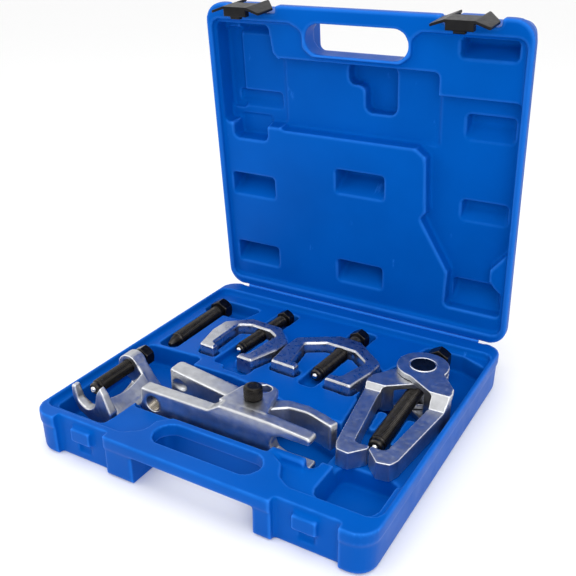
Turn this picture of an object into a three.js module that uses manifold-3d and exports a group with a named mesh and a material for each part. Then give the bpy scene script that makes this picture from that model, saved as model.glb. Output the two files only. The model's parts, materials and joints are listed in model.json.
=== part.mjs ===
// Ball joint separator set: a blow-moulded carry case that holds a lever separator, its loose forcing screw,
// a forked C-frame puller, two one-piece leg pullers and a pivoting twin-arm puller.
// Millimetres. +X runs along the hinge, +Y to the back, +Z up. The origin is the middle of the underside.
import * as THREE from "three";
import { mergeVertices } from "three/addons/utils/BufferGeometryUtils.js";
import Module from "manifold-3d";

const wasm = await Module();
wasm.setup();

// ---------------------------------------------------------------- driving dimensions

const CASE_WIDTH = 350;
const CASE_DEPTH = 338;
const BASE_HEIGHT = 42;
const LID_DEPTH = 39;
const WALL = 2.4; // each skin of the double-walled moulding
const CORNER_RADIUS = 20;
const CLEARANCE = 0.3; // running gap between neighbouring pieces

const HINGE_RADIUS = 1.6;
const HALF_W = CASE_WIDTH / 2;
const HALF_D = CASE_DEPTH / 2;
const LID_OPEN_ANGLE = THREE.MathUtils.degToRad(84.3); // from closed
const TRAY_TOP = BASE_HEIGHT - 7; // the ledge that surrounds the pockets
const VENT_RADIUS = 2.5;

const HANDLE = { x: 3, y: -136, width: 109, height: 31 }; // hand hole through base and lid
const GRIP_THICKNESS = 13; // the grip bar is only this deep
const LID_HAND_HOLE = { x: 0.5, y: -138.5, width: 112, height: 30.5 };
const LID_GRIP_THICKNESS = 21;
const LATCH_WIDTH = 56;
const LATCH_CENTRES = { left: -117, right: 116 };
const LATCH_RECESS_DEPTH = 8;
const LATCH = { pivotY: -HALF_D + 2, pivotZ: 9, barRadius: 1.7, lugHalf: 12 }; // from the lid's rim plane
const HOOK = { half: 13, noseHalf: 5.5, top: -32, bottom: -40 }; // heights from the pivot

// Lever separator, lying on its side with the pivot upright
const SEPARATOR = {
  front: -102, // the fork arm's outer face
  thickness: 14,
  axisZ: 40, // height of the forcing screw's hole and of the fork slot
  screwHoleX: -83,
  pivot: [13, -75],
  spareHole: [14, -56],
  plateHalf: 22.5, // half the height of the fork plate
  barHalf: 14,
  slotHalf: 11,
  earThickness: 8.2,
  boltRadius: 6,
  knobRadius: 9,
  knobHeight: 12.5,
};
const FORCING_SCREW = { x: -149, z: 33, radius: 8, across: 22, head: 13, length: 108, tipY: 8 };

// C-frame, standing on its spine: the screw axis lies along Y
const C_FRAME = {
  x: -141, z: 47, lean: -43, bossBack: -53.5, bossFront: -68.5, bossRadius: 12.5, spine: 40,
  forkFront: -134, forkBack: -123, screwRadius: 7, screwFront: -119, headFront: -50,
};

// One-piece leg pullers, lying flat, turned a few degrees in the tray
const SMALL_PULLER = {
  x: -76.5, y: 9, turn: -4, top: 45, thickness: 20, screwRadius: 6.5,
  footOuter: 34, footInner: 15.5, footDepth: 8, legInner: 22.5,
  shoulder: 43, shoulderAt: 56, throat: 25, throatAt: 58, roof: 12, roofAt: 65, crown: 20, back: 79,
  screwTip: 25, screwHead: 110, headAcross: 17, headTravel: 6,
};
const WIDE_PULLER = {
  x: 21.5, y: 15, turn: -3.5, top: 45, thickness: 20, screwRadius: 7.5,
  footOuter: 47, footInner: 18, footDepth: 10, legInner: 29,
  shoulder: 52, shoulderAt: 57, throat: 37, throatAt: 50, roof: 17, roofAt: 64, crown: 13, back: 86,
  screwTip: 12, screwHead: 100, headAcross: 19, headTravel: 10.5,
};

// Twin-arm puller, lying flat around an upright trunnion
const TWIN = {
  x: 122, y: 67, turn: 1.8, mid: 36, screwRadius: 8, pinRadius: 13.5, eyeRadius: 26, legHalf: 9,
  inner: [8.7, 14.7], outer: [15, 21.2], // half-heights of the two pairs of eye plates
  screwTip: -122, screwHead: 48, headAcross: 22,
};
const BALL_RADIUS = 3.2; // pressure ball in the end of each puller's screw

// ---------------------------------------------------------------- materials

const finish = (color, roughness, metalness) =>
  new THREE.MeshStandardMaterial({ color, roughness, metalness });
const MATERIALS = {
  shell: finish(0x0060b8, 0.42, 0),
  forged: finish(0xb9bdc4, 0.3, 1),
  plated: finish(0xc3c8d2, 0.22, 1),
  black: finish(0x1c1b1a, 0.45, 0.9),
  latch: finish(0x1b1b1d, 0.4, 0),
};

// ---------------------------------------------------------------- shape helpers

// A closed mesh as a manifold solid: only positions are kept, and shared vertices are merged.
function solid(geometry) {
  const bare = geometry.clone();
  bare.deleteAttribute("normal");
  bare.deleteAttribute("uv");
  const merged = mergeVertices(bare, 1e-4);
  return new wasm.Manifold(
    new wasm.Mesh({
      numProp: 3,
      vertProperties: new Float32Array(merged.attributes.position.array),
      triVerts: new Uint32Array(merged.index.array),
    }),
  );
}

const union = (parts) => parts.reduce((all, part) => all.add(part));

// A counter-clockwise outline with rounded corners, moved outwards by grow.
// A corner is [x, y] or [x, y, its own radius].
function outline(corners, radius = 0, grow = 0, steps = 3) {
  const count = corners.length;
  const normals = corners.map(([x, y], i) => {
    const [nx, ny] = corners[(i + 1) % count];
    return new THREE.Vector2(ny - y, x - nx).normalize();
  });
  const ring = [];
  corners.forEach(([x, y, own], i) => {
    const before = normals[(i + count - 1) % count];
    const after = normals[i];
    const bisector = before.clone().add(after);
    const corner = new THREE.Vector2(x, y).addScaledVector(bisector, (2 * grow) / bisector.lengthSq());
    const turn = Math.atan2(before.cross(after), before.dot(after));
    const wanted = own ?? radius;
    const r = wanted === 0 ? 0 : Math.max(0.2, turn > 0 ? wanted + grow : wanted - grow);
    if (r === 0 || Math.abs(turn) < 1e-3) {
      ring.push(corner);
      return;
    }
    const side = Math.sign(turn);
    const centre = corner.clone().addScaledVector(bisector.normalize(), (-side * r) / Math.cos(turn / 2));
    const start = Math.atan2(before.y, before.x);
    for (let s = 0; s <= steps; s++) {
      const angle = start + (turn * s) / steps;
      ring.push(new THREE.Vector2(Math.cos(angle), Math.sin(angle)).multiplyScalar(side * r).add(centre));
    }
  });
  return ring;
}

// A solid through rings of equal length, each { ring, z }, from the lowest to the highest.
function loft(levels) {
  const count = levels[0].ring.length;
  const positions = levels.flatMap(({ ring, z }) => ring.flatMap((p) => [p.x, p.y, z]));
  const index = [];
  for (let level = 0; level + 1 < levels.length; level++) {
    for (let i = 0; i < count; i++) {
      const a = level * count + i;
      const b = level * count + ((i + 1) % count);
      index.push(a, b, b + count, a, b + count, a + count);
    }
  }
  const last = (levels.length - 1) * count;
  const cap = (ring) => THREE.ShapeUtils.triangulateShape(ring, []);
  for (const [a, b, c] of cap(levels[0].ring)) index.push(a, c, b);
  for (const [a, b, c] of cap(levels.at(-1).ring)) index.push(last + a, last + b, last + c);
  const geometry = new THREE.BufferGeometry();
  geometry.setAttribute("position", new THREE.Float32BufferAttribute(positions, 3));
  geometry.setIndex(index);
  return geometry;
}

// A straight prism; bevel breaks its top and bottom edges.
function prism(corners, low, high, { radius = 0, bevel = 0, steps = 2 } = {}) {
  if (bevel === 0) {
    const ring = outline(corners, radius, 0, steps);
    return solid(loft([{ ring, z: low }, { ring, z: high }]));
  }
  const full = outline(corners, radius, 0, steps);
  const inner = outline(corners, radius, -bevel, steps);
  return solid(
    loft([
      { ring: inner, z: low },
      { ring: full, z: low + bevel },
      { ring: full, z: high - bevel },
      { ring: inner, z: high },
    ]),
  );
}

// A prism whose outline lies in the XZ plane and which runs along Y.
function prismAlongY(corners, front, back, options) {
  return prism(corners, -back, -front, options).rotate([90, 0, 0]);
}

const rectangle = (x0, x1, y0, y1) => [[x0, y0], [x1, y0], [x1, y1], [x0, y1]];

function block(x0, x1, y0, y1, z0, z1) {
  return prism(rectangle(x0, x1, y0, y1), z0, z1);
}

// A turned solid about Z: profile is [radius, z] from the lower axis point to the upper one.
function turned(profile, sides = 20) {
  const points = profile.map(([r, z]) => new THREE.Vector2(r, z));
  return solid(new THREE.LatheGeometry(points, sides)).rotate([90, 0, 0]);
}

function cylinder(radius, low, high, { chamfer = 0, sides = 20 } = {}) {
  const end = radius - chamfer;
  const edges = chamfer === 0 ? [[end, low], [end, high]] : [
    [end, low], [radius, low + chamfer], [radius, high - chamfer], [end, high],
  ];
  return turned([[0, low], ...edges, [0, high]], sides);
}

const polar = (count, radius, phase = 0) =>
  Array.from({ length: count }, (_, i) => {
    const angle = phase + (i * 2 * Math.PI) / count;
    return [radius * Math.cos(angle), radius * Math.sin(angle)];
  });

// A hexagon bar with its corners turned off at both ends.
function hexagon(across, low, high) {
  const corner = across / Math.sqrt(3);
  const bar = prism(polar(6, corner, Math.PI / 6), low, high);
  const round = cylinder(corner, low, high, { chamfer: corner - across / 2 });
  return bar.intersect(round);
}

// Turns a solid built about Z so that its +Z points along +Y.
const aimBack = (part) => part.rotate([-90, 0, 0]);

// ---------------------------------------------------------------- case mouldings

const BASE_FORM = { depth: BASE_HEIGHT, stepIn: 1.3, draft: 0.02, edge: 2.2 };
const LID_FORM = { depth: LID_DEPTH, stepIn: 3, draft: 0.16, edge: 3 };

// The outer form of one half of the case, from the rim plane (z = 0) to its outer face (z = depth).
// The band next to the rim is upright, and the rest is drafted.
function caseForm({ depth, stepIn, draft, edge }, grow = 0) {
  const band = 11;
  const at = (inset) => outline(rectangle(-HALF_W, HALF_W, -HALF_D, HALF_D), CORNER_RADIUS, grow - inset, 6);
  const low = -Math.min(0, grow);
  const outer = depth + grow;
  const insetAt = (z) => stepIn + draft * (z - band);
  return solid(
    loft([
      { ring: at(0), z: low },
      { ring: at(0), z: band },
      { ring: at(insetAt(band + 2)), z: band + 2 },
      { ring: at(insetAt(outer - edge)), z: outer - edge },
      { ring: at(insetAt(outer) + edge * 0.8), z: outer },
    ]),
  );
}

// A pocket sunk from the rim plane: corners at its floor, drafted outwards to its mouth.
// room moves the whole pocket outwards, and grow makes the skin around it.
function pocket(corners, depth, { mouth = 0, radius = 5, draft = 0.05, room = 0, steps = 2 } = {}) {
  const start = mouth > 0 ? mouth - 0.01 : -1;
  const widest = room + draft * (depth - mouth);
  return (grow) =>
    solid(
      loft([
        { ring: outline(corners, radius, widest + grow, steps), z: start },
        { ring: outline(corners, radius, room + grow, steps), z: depth + grow },
      ]),
    );
}

// A pocket with islands left standing in it, each up to the level of the pocket's mouth.
function around(cut, islands) {
  const standing = (corners, grow) => {
    const ring = outline(corners, 2.5, -grow, 2);
    return solid(loft([{ ring, z: -5 }, { ring, z: BASE_HEIGHT + 5 }]));
  };
  return (grow) => cut(grow).subtract(union(islands.map((corners) => standing(corners, grow))));
}

// A cut right through from one z to another.
function through(corners, low, high, { radius = 5, steps = 4 } = {}) {
  return (grow) => {
    const ring = outline(corners, radius, grow, steps);
    return solid(loft([{ ring, z: low - grow }, { ring, z: high + grow }]));
  };
}

// A double-walled half: the form less its pockets, with the hollow between the two skins taken out.
// Narrow spots where the skins meet stay solid, so only the largest connected hollow is opened and vented.
function doubleWalled(form, cuts, vent) {
  const hollows = caseForm(form, -WALL).subtract(union(cuts.map((cut) => cut(WALL)))).decompose();
  const hollow = hollows.reduce((best, each) => (each.volume() > best.volume() ? each : best));
  return caseForm(form)
    .subtract(union(cuts.map((cut) => cut(0))))
    .subtract(hollow)
    .subtract(vent);
}

const holeCorners = ({ x, y, width, height }) =>
  rectangle(x - width / 2, x + width / 2, y - height / 2, y + height / 2);

// Cuts of the base, measured down from the rim plane. Y is the case's own Y.
function baseCuts() {
  const down = (z) => BASE_HEIGHT - z;
  const floor = {
    fork: 17.2, nut: 9, cFrame: 12, screw: 24.7, hex: 20,
    puller: 24.7, head: 22, hub: 14.5, legs: 26.7, spare: 9,
  };
  const [pivotX, pivotY] = SEPARATOR.pivot;
  const ledge = pocket(
    [
      [-170, -152], [-78, -152], [-63, -140], [-63, -124], [-50, -111], [56, -111],
      [71, -120], [79, -136], [90, -143], [168, -143], [168, 146], [-170, 146],
    ],
    down(TRAY_TOP),
    { radius: 8, draft: 0.3 },
  );
  const trays = [
    pocket([[-165, -144], [-108, -144], [-106, -100], [-100, 0], [-165, -4]], down(floor.cFrame)),
    pocket(rectangle(-160, -138, 3, 100), down(floor.screw)),
    pocket([[-165, 96], [-112, 96], [-104, 128], [-165, 128]], down(floor.hex)),
    pocket(
      [[-104, -106], [93, -106], [95, -36], [22, -32], [-6, -22], [-52, -16], [-104, -16]],
      down(floor.fork),
    ),
    pocket(polar(12, 14).map(([x, y]) => [pivotX + x, pivotY + y]), down(floor.nut), { radius: 0, draft: 0 }),
    ...[SMALL_PULLER, WIDE_PULLER].flatMap((spec) => [
      pocket(legPlan(spec).map(pullerPoint(spec)), down(floor.puller), { room: 1.6, draft: 0.08 }),
      pocket(screwChannel(spec, 9.5).map(pullerPoint(spec)), down(floor.puller)),
      pocket(headPocket(spec).map(pullerPoint(spec)), down(floor.head)),
    ]),
    pocket(
      rectangle(6, SMALL_PULLER.footOuter + 3, -14, 4).map(pullerPoint(SMALL_PULLER)),
      down(floor.puller),
    ),
    pocket(
      [[76, 12], [90, 9], [167, 9], [167, 128], [140, 141], [102, 141], [90, 96], [74, 48]],
      down(floor.hub),
    ),
    around(pocket([[92, -94], [167, -94], [167, 34], [73, 50]], down(floor.legs)), [
      [[108, -30], [115, -30], [114.2, 2], [104, 2]],
      [[134, -42], [140.5, -42], [145, 2], [133.2, 2]],
    ]),
    pocket([[108, -136], [160, -136], [160, -80], [108, -80]], down(floor.spare), { draft: 0.1, radius: 8 }),
  ];
  const handHole = through(holeCorners(HANDLE), -1, BASE_HEIGHT + 1, { radius: 15, steps: 6 });
  const gripPlan = rectangle(-57, 69, -190, -116);
  const gripUnderside = through(gripPlan, GRIP_THICKNESS, BASE_HEIGHT + 1, { radius: 6 });
  const hookTop = -LATCH.pivotZ - HOOK.top;
  const hookBottom = -LATCH.pivotZ - HOOK.bottom;
  const noseRoom = HOOK.noseHalf + 2;
  const latchRecesses = Object.values(LATCH_CENTRES).flatMap((x) => [
    through(latchSeat(x, LATCH_RECESS_DEPTH, 2), -1, BASE_HEIGHT + 1, { radius: 2 }),
    through(
      rectangle(x - noseRoom, x + noseRoom, -HALF_D, -HALF_D + 11),
      hookTop - 1.5,
      hookBottom + 3,
      { radius: 1 },
    ),
  ]);
  return [ledge, ...trays, handHole, gripUnderside, ...latchRecesses];
}

const latchSeat = (x, depth, room) =>
  rectangle(x - LATCH_WIDTH / 2 - room, x + LATCH_WIDTH / 2 + room, -HALF_D - 20, -HALF_D + depth);

// The base is worked out rim plane down, then turned the right way up.
function caseBase() {
  const vent = cylinder(VENT_RADIUS, BASE_HEIGHT - WALL - 2, BASE_HEIGHT + 1).translate([-40, 155, 0]);
  const upright = doubleWalled(BASE_FORM, baseCuts(), vent).mirror([0, 0, 1]).translate([0, 0, BASE_HEIGHT]);
  const front = -HALF_D + 2.5;
  const hookZ = BASE_HEIGHT + LATCH.pivotZ + HOOK.top;
  const catches = Object.values(LATCH_CENTRES).map((x) => {
    const plan = rectangle(x - 11, x + 11, front, front + LATCH_RECESS_DEPTH);
    return prism(plan, hookZ + 1.5, BASE_HEIGHT - 6.5, { bevel: 1 });
  });
  const forkRibPlan = [[50, -113], [87, -113], [85, -103.5], [50, -103.5]];
  const forkRib = prism(forkRibPlan, 16, BASE_HEIGHT + 0.5, { bevel: 2 });
  return union([upright, ...catches, forkRib]).subtract(hingeGroove(BASE_HEIGHT));
}

const onHinge = (part, z) => part.rotate([0, 90, 0]).translate([0, HALF_D, z]);

// Both halves are relieved around the bead of the hinge.
const hingeGroove = (z) => onHinge(cylinder(HINGE_RADIUS + CLEARANCE, -HALF_W + 20, HALF_W - 20), z);
const hingeWeb = () =>
  onHinge(cylinder(HINGE_RADIUS, -HALF_W + 28, HALF_W - 28, { sides: 12 }), BASE_HEIGHT);

// A stiffening dent: an upright end and a short floor near y0, then one slope up to y1.
function dent([x0, x1, y0, y1], mouth, depth) {
  const floor = rectangle(x0 + 2.5, x1 - 2.5, y0 + 1.5, y0 + 0.45 * (y1 - y0));
  return (grow) =>
    solid(
      loft([
        { ring: outline(rectangle(x0, x1, y0, y1), 3, grow, 2), z: mouth },
        { ring: outline(floor, 2, grow, 2), z: depth + grow },
      ]),
    );
}

// The lid is worked out as if closed: its rim plane is z = 0 and its outer face is uppermost.
function lidCuts() {
  const panel = 6;
  const deepTop = 21.5;
  const deepRight = 19.5;
  const deepLeft = 23.5;
  const sunk = (corners, depth, radius = 4) => pocket(corners, depth, { mouth: panel, radius, draft: 0.06 });
  const rim = pocket(
    [
      [-168, -152], [-74, -152], [-60, -145], [-60, -128], [-48, -119.5], [48, -119.5],
      [60, -128], [60, -145], [70, -152], [168, -152], [168, 157], [-168, 157],
    ],
    panel,
    { radius: 8, draft: 0.2 },
  );
  const zones = [
    sunk([[-93, -114], [86, -114], [86, -37], [-93, -37]], deepTop),
    sunk(
      [
        [80, -92], [167, -92], [167, 62], [150, 84], [150, 98], [158, 107], [164, 112], [164, 138],
        [104, 138], [106, 97], [73, 40], [79, 33], [77, -28], [64, -38], [-81, -38], [-81, -50], [80, -50],
      ],
      deepRight,
    ),
    sunk([[-165, -147], [-103, -147], [-99, -120], [-92, -112], [-92, -39.5], [-165, -39.5]], deepLeft),
    sunk(rectangle(-165, -146, -140, -52), deepLeft + 4),
    sunk(rectangle(-154, -112, -46, -22), deepLeft + 2),
  ];
  const clip = pocket(
    [[-16, -113], [37, -113], [37, -63], [3, -63], [3, -88], [-4, -91], [-16, -91]],
    35,
    { mouth: deepTop, radius: 7, steps: 4 },
  );
  const panelDents = [[-162, -105, 22, 49], [-162, -105, 111, 138], [-27, 31, -1, 27], [-26, 30, 109, 137]];
  const deepDents = [[112, 161, -74, -48], [112, 161, 16, 39], [108, 160, 108, 136], [-157, -97, -73, -49]];
  const grip = through(rectangle(-57, 69, -190, -119.5), LID_GRIP_THICKNESS, LID_DEPTH + 1, { radius: 6 });
  return [
    rim,
    ...zones,
    clip,
    ...panelDents.map((place) => dent(place, panel, 30)),
    ...deepDents.map((place) => dent(place, deepRight, 31)),
    dent([106, 161, -149, -130], panel, 26),
    dent([-148, -99, -147, -134], deepLeft, 30),
    through(holeCorners(LID_HAND_HOLE), -1, LID_DEPTH + 1, { radius: 15, steps: 6 }),
    grip,
    ...Object.values(LATCH_CENTRES).map((x) =>
      through(latchSeat(x, 8, 0.5), -1, LID_DEPTH + 1, { radius: 2 }),
    ),
  ];
}

function caseLid() {
  const { pivotY, pivotZ, barRadius, lugHalf } = LATCH;
  const vent = cylinder(VENT_RADIUS, LID_DEPTH - WALL - 2, LID_DEPTH + 1).translate([-60, 158, 0]);
  const lugs = Object.values(LATCH_CENTRES).map((x) => {
    const plan = rectangle(x - lugHalf, x + lugHalf, pivotY - 3, pivotY + 5);
    const lug = prism(plan, -5, pivotZ + 4, { bevel: 0.8 });
    const root = block(x - lugHalf, x + lugHalf, pivotY + 4, -HALF_D + 10, 0.5, pivotZ + 3);
    const bore = cylinder(barRadius + 0.4, x - 20, x + 20).rotate([0, 90, 0]).translate([0, pivotY, pivotZ]);
    return lug.add(root).subtract(bore);
  });
  return union([doubleWalled(LID_FORM, lidCuts(), vent), ...lugs])
    .translate([0, 0, CLEARANCE])
    .subtract(hingeGroove(0));
}

// A snap latch in its shut position, built about its pivot bar: Z runs up the case's front, -Y is outwards.
// The plate straddles the lid's lug, and it is bowed: the middle stands out and the wings lie back.
function latch() {
  const half = LATCH_WIDTH / 2;
  const thick = 2.6;
  const proud = -5; // the middle's outer face
  const plan = [
    [-half, HOOK.bottom, 2], [half, HOOK.bottom, 2], [half, -11, 2], [14, 5, 2], [-14, 5, 2], [-half, -11, 2],
  ];
  const bow = [
    [-half - 1, 0], [-14, proud], [14, proud], [half + 1, 0],
    [half + 1, thick], [14, proud + thick], [-14, proud + thick], [-half - 1, thick],
  ];
  const plate = prismAlongY(plan, -9, 9).intersect(prism(bow, -50, 10, { radius: 0.7 }));
  const straddle = LATCH.lugHalf + 0.6;
  const window = block(-straddle, straddle, -12, 12, -15.5, 20);
  const ears = [-1, 1].map((side) => {
    const middle = side * (straddle + 2);
    return prism(rectangle(middle - 2, middle + 2, -3.6, 2.2), -3.2, 3.2, { bevel: 0.5 });
  });
  const bar = cylinder(LATCH.barRadius, -straddle - 2, straddle + 2, { sides: 12 }).rotate([0, 90, 0]);
  const body = prism(rectangle(-HOOK.half, HOOK.half, -3.4, 4.5), HOOK.bottom, HOOK.top, { bevel: 0.7 });
  const nosePlan = rectangle(-HOOK.noseHalf, HOOK.noseHalf, 0, 7);
  const nose = prism(nosePlan, HOOK.bottom + 0.5, HOOK.top - 1, { bevel: 0.7 });
  return union([plate.subtract(window), ...ears, bar, body, nose]);
}

// ---------------------------------------------------------------- lever separator

function forkArm() {
  const { front, thickness, axisZ, plateHalf, barHalf, slotHalf, earThickness } = SEPARATOR;
  const { pivot, spareHole, boltRadius, screwHoleX } = SEPARATOR;
  const back = front + thickness;
  const low = axisZ - plateHalf;
  const high = axisZ + plateHalf;
  const web = prismAlongY(
    [
      [-98, axisZ - barHalf, 3], [-20, axisZ - barHalf], [-7, low], [44, low], [86, low + 4, 3],
      [86, axisZ - slotHalf, 2], [46, axisZ - slotHalf, 10.5],
      [46, axisZ + slotHalf, 10.5], [86, axisZ + slotHalf, 2],
      [86, high - 4, 3], [44, high - 0.5], [-7, high], [-20, axisZ + barHalf], [-98, axisZ + barHalf, 3],
    ],
    front,
    back,
    { radius: 2, bevel: 1.2 },
  );
  const earPlan = [[-14, back - 4], [38, back - 4], [31, -72, 8], [26, -49, 8], [3, -46, 10], [-8, -62, 6]];
  const ears = [low, high - earThickness].map((z) =>
    prism(earPlan, z, z + earThickness, { radius: 1, bevel: 0.8 }),
  );
  const screwHole = aimBack(cylinder(8.4, front - 1, back + 1)).translate([screwHoleX, 0, axisZ]);
  const pinHoles = [pivot, spareHole].map(([x, y]) =>
    cylinder(boltRadius + CLEARANCE, low - 1, high + 1).translate([x, y, 0]),
  );
  return union([web, ...ears]).subtract(union([screwHole, ...pinHoles]));
}

function leverArm() {
  const { axisZ, barHalf, pivot, boltRadius } = SEPARATOR;
  const low = axisZ - barHalf;
  const high = axisZ + barHalf;
  const barPlan = [[-95, -60, 3], [2, -76.5], [10, -63], [-14, -53], [-95.5, -40, 5]];
  const bar = prism(barPlan, low, high, { radius: 2, bevel: 1.5 });
  const finger = prism(
    [
      [10, -82], [28, -72, 6], [42, -61, 12], [62, -60, 30], [89, -69, 2], [92, -59, 2],
      [76, -53, 20], [56, -48, 25], [36, -49, 20], [20, -58, 6], [6, -67],
    ],
    low + 0.3,
    high - 0.3,
    { radius: 1, bevel: 1.2, steps: 3 },
  );
  const hub = cylinder(12.4, low - 0.25, high + 0.25, { chamfer: 0.7, sides: 28 }).translate([...pivot, 0]);
  const bore = cylinder(boltRadius + CLEARANCE, low - 1, high + 1).translate([...pivot, 0]);
  const ball = solid(new THREE.SphereGeometry(1, 14, 8));
  const dimple = ball.scale([10, 3.5, 5.5]).translate([-82, -62.5, axisZ]);
  return union([bar, hub, finger]).subtract(bore).subtract(dimple);
}

function pivotBolt() {
  const { axisZ, plateHalf, pivot, boltRadius, knobRadius, knobHeight } = SEPARATOR;
  const seat = axisZ + plateHalf + CLEARANCE;
  const shank = cylinder(boltRadius, 9.5, seat + 1, { chamfer: 1 });
  const knob = cylinder(knobRadius, seat, seat + knobHeight, { chamfer: 1.2, sides: 28 });
  return shank.add(knob).translate([pivot[0], pivot[1], 0]);
}

function pivotNut() {
  const { axisZ, plateHalf, pivot, boltRadius } = SEPARATOR;
  const seat = axisZ - plateHalf - CLEARANCE;
  const bored = hexagon(19, seat - 7, seat).subtract(cylinder(boltRadius + CLEARANCE, 0, seat + 1));
  return bored.translate([pivot[0], pivot[1], 0]);
}

// The loose screw that spreads the lever arms: a conical point, a plain neck and a hexagon head.
function forcingScrew() {
  const { x, z, radius, across, head, length, tipY } = FORCING_SCREW;
  const shank = turned([
    [0, 0], [2.5, 0], [5.6, 8], [6.4, 12], [radius - 0.8, 12.6], [radius, 14], [radius, length - head - 5],
    [radius - 1, length - head - 4], [radius - 1, length - head + 1], [0, length - head + 1],
  ]);
  return aimBack(shank.add(hexagon(across, length - head, length))).translate([x, tipY, z]);
}

// ---------------------------------------------------------------- screws of the pullers

// A screw about Z with its ball socket at z = 0 and its hexagon head at the far end.
function pullerScrew(radius, length, across) {
  const head = across * 0.62;
  const shank = turned([
    [0, 0], [radius - 2.2, 0], [radius - 1, 1.5], [radius - 1, 5],
    [radius, 6.2], [radius, length - head + 1], [0, length - head + 1],
  ]);
  const socket = cylinder(BALL_RADIUS + CLEARANCE, -1, BALL_RADIUS + 1.6);
  return shank.add(hexagon(across, length - head, length)).subtract(socket);
}

// The ball keeps still while its screw turns: half of it stands out of the socket.
const pressureBall = () => solid(new THREE.SphereGeometry(BALL_RADIUS, 12, 8)).translate([0, 0, 0.6]);

// ---------------------------------------------------------------- C-frame

// Built about its screw axis with the spine straight down, then leaned over as it stands in the tray.
const leanCFrame = (part) => part.rotate([0, C_FRAME.lean, 0]).translate([C_FRAME.x, 0, C_FRAME.z]);

function cFrame() {
  const { bossBack, bossFront, bossRadius, spine, forkFront, forkBack, screwRadius } = C_FRAME;
  const along = (radius, y0, y1) => cylinder(radius, y0, y1).rotate([-90, 0, 0]);
  const arm = prismAlongY(
    [[-8, -spine], [8, -spine], [9, -22], [bossRadius - 0.6, -4], [-bossRadius + 0.6, -4], [-9, -22]],
    bossFront,
    bossBack,
    { radius: 2, bevel: 1.5 },
  );
  const boss = along(bossRadius, bossFront, bossBack);
  const ribSection = [[-8, -spine], [8, -spine], [9, -spine + 10], [-9, -spine + 10]];
  const rib = prismAlongY(ribSection, forkFront + 4, bossBack - 2, { radius: 2.5, bevel: 1 });
  // The fork stands upright: a thin hooked prong on the left, a broad pointed one on the right.
  const fork = prismAlongY(
    [
      [18, -32, 3], [30, -27, 4], [33, -10, 8], [29, 8, 5], [21.5, 14.5, 3], [12.5, 7, 4], [12.5, -8, 8],
      [3, -14.5, 8], [-6.5, -6, 8], [-8.5, 8.5, 1.5], [-16.5, 8, 1.5],
      [-14.5, -5, 10], [-8, -17, 10], [8, -26, 10],
    ],
    forkFront,
    forkBack,
    { bevel: 1.2, steps: 3 },
  ).translate([C_FRAME.x, 0, C_FRAME.z]);
  const bore = along(screwRadius + CLEARANCE, bossFront - 1, bossBack + 1);
  return union([leanCFrame(union([arm, boss, rib]).subtract(bore)), fork]);
}

const cFramePlace = (part) => aimBack(part).translate([C_FRAME.x, C_FRAME.screwFront, C_FRAME.z]);
const cFrameScrewLength = C_FRAME.headFront + 11.8 - C_FRAME.screwFront;
const cFrameScrew = () => cFramePlace(pullerScrew(C_FRAME.screwRadius, cFrameScrewLength, 19));
const cFrameBall = () => cFramePlace(pressureBall());

// ---------------------------------------------------------------- one-piece leg pullers

// The outline of a puller's frame: the feet on y = 0 and the screw axis along +Y.
function legPlan(spec) {
  const { footOuter, footInner, footDepth, shoulder, shoulderAt, crown, back } = spec;
  const { legInner, throat, throatAt, roof, roofAt } = spec;
  const right = [
    [footInner, 0, 1], [footOuter, 0, 3],
    [shoulder, shoulderAt - 22, 10], [shoulder, shoulderAt, 8], [crown, back, 6],
  ];
  const inside = [
    [footInner, footDepth, 1], [legInner, footDepth + 3, 3], [throat, throatAt, 5], [roof, roofAt, 4],
  ];
  const mirrored = (points) => points.map(([x, y, r]) => [-x, y, r]).reverse();
  return [...right, ...mirrored(right), ...mirrored(inside).reverse(), ...[...inside].reverse()];
}

// The tray's channel under the screw, long enough for the screw's travel.
const screwChannel = (spec, half) => rectangle(-half, half, -8, spec.screwHead + 4);

// The pocket behind the frame, where the hexagon head turns.
function headPocket({ back, screwHead, headAcross, headTravel }) {
  const half = headAcross / Math.sqrt(3) + 2;
  return rectangle(-half, half, back + 2, screwHead + headAcross * 0.62 + headTravel + 1.5);
}

function legPuller(spec) {
  const { top, thickness, roofAt, back, screwRadius } = spec;
  const frame = prism(legPlan(spec), top - thickness, top, { bevel: 1.8, steps: 3 });
  const borer = aimBack(cylinder(screwRadius + CLEARANCE, roofAt - 5, back + 5));
  return frame.subtract(borer.translate([0, 0, top - thickness / 2]));
}

// A puller's own [x, y] in the case, with its radius if it has one.
const pullerPoint = (spec) => ([x, y, ...radius]) => {
  const turn = THREE.MathUtils.degToRad(spec.turn);
  const placed = new THREE.Vector2(x, y).rotateAround(new THREE.Vector2(), turn);
  return [placed.x + spec.x, placed.y + spec.y, ...radius];
};
const pullerPlace = (spec, part) => part.rotate([0, 0, spec.turn]).translate([spec.x, spec.y, 0]);
const pullerAxis = (spec, part) => aimBack(part).translate([0, spec.screwTip, spec.top - spec.thickness / 2]);

// ---------------------------------------------------------------- twin-arm puller

// Both arms are built about the trunnion, pointing along -Y; the plan is the right-hand arm's.
const ARM_LEG = [
  [25, -54], [15, -134, 5], [0.6, -133, 1], [0.6, -138, 1], [13, -152, 2],
  [25, -150, 3], [29, -141, 4], [43.3, -33, 4], [24, -36],
];
const ARM_EYE = [[-23, -12], [24, -46], [43.3, -33, 4], [25, -8]];

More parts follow.
